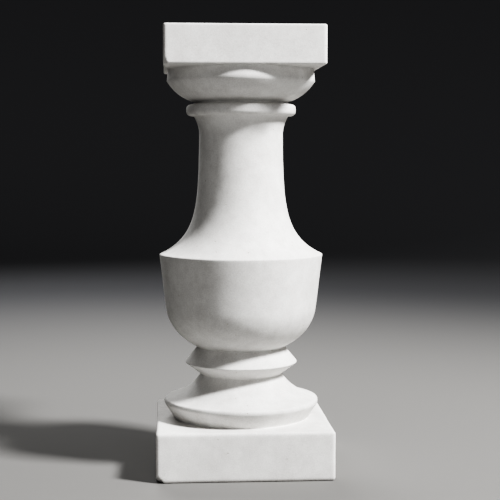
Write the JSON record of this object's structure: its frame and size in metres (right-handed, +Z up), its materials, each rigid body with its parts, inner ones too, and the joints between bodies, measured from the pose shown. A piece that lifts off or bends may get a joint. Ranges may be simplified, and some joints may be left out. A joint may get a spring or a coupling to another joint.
{
  "type": "stone baluster",
  "caption": "Squat turned stone baluster with a square plinth and abacus, a sharp-edged belly and a waisted neck, to stand in a row under a rail.",
  "frame": {"origin": "middle of the underside of the square plinth", "axes": "+Z up along the axis of the turned shaft, X and Y along the sides of the plinth, front face towards -Y"},
  "size_m": [0.238, 0.238, 0.6],
  "materials": {
    "cast_stone": "fine-grained pale stone, matt"
  },
  "bodies": {
    "root": {"baluster": "cast_stone"}
  },
  "joints": []
}
